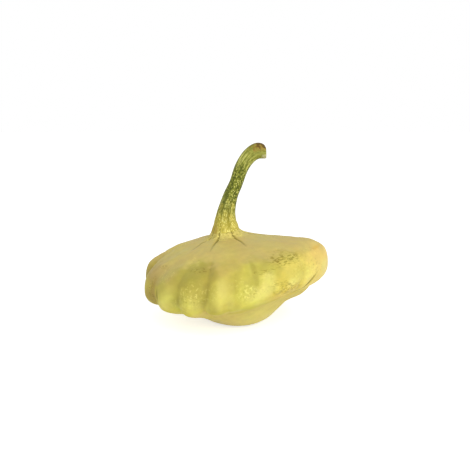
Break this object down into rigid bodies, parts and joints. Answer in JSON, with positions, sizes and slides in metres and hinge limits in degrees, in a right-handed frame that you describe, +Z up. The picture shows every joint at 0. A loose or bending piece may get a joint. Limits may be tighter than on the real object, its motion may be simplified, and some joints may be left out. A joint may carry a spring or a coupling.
{
  "type": "pattypan squash",
  "caption": "Yellow-green pattypan squash: a lopsided scalloped fruit with a smooth domed top, rounded lobes and a cone-shaped belly, with a ribbed green stem bent to one side.",
  "frame": {"origin": "middle of the small flat at the foot of the belly, on which the squash rests", "axes": "+Z up, +X towards the side the stem bends to and the ring of lobes rises to, -Y towards the side with the deepest groove"},
  "size_m": [0.1425, 0.1405, 0.1388],
  "materials": {
    "squash_skin": "satin, waxy",
    "squash_stem": "dry, ribbed, finely speckled"
  },
  "bodies": {
    "root": {"fruit": "squash_skin", "stem": "squash_stem"}
  },
  "joints": []
}
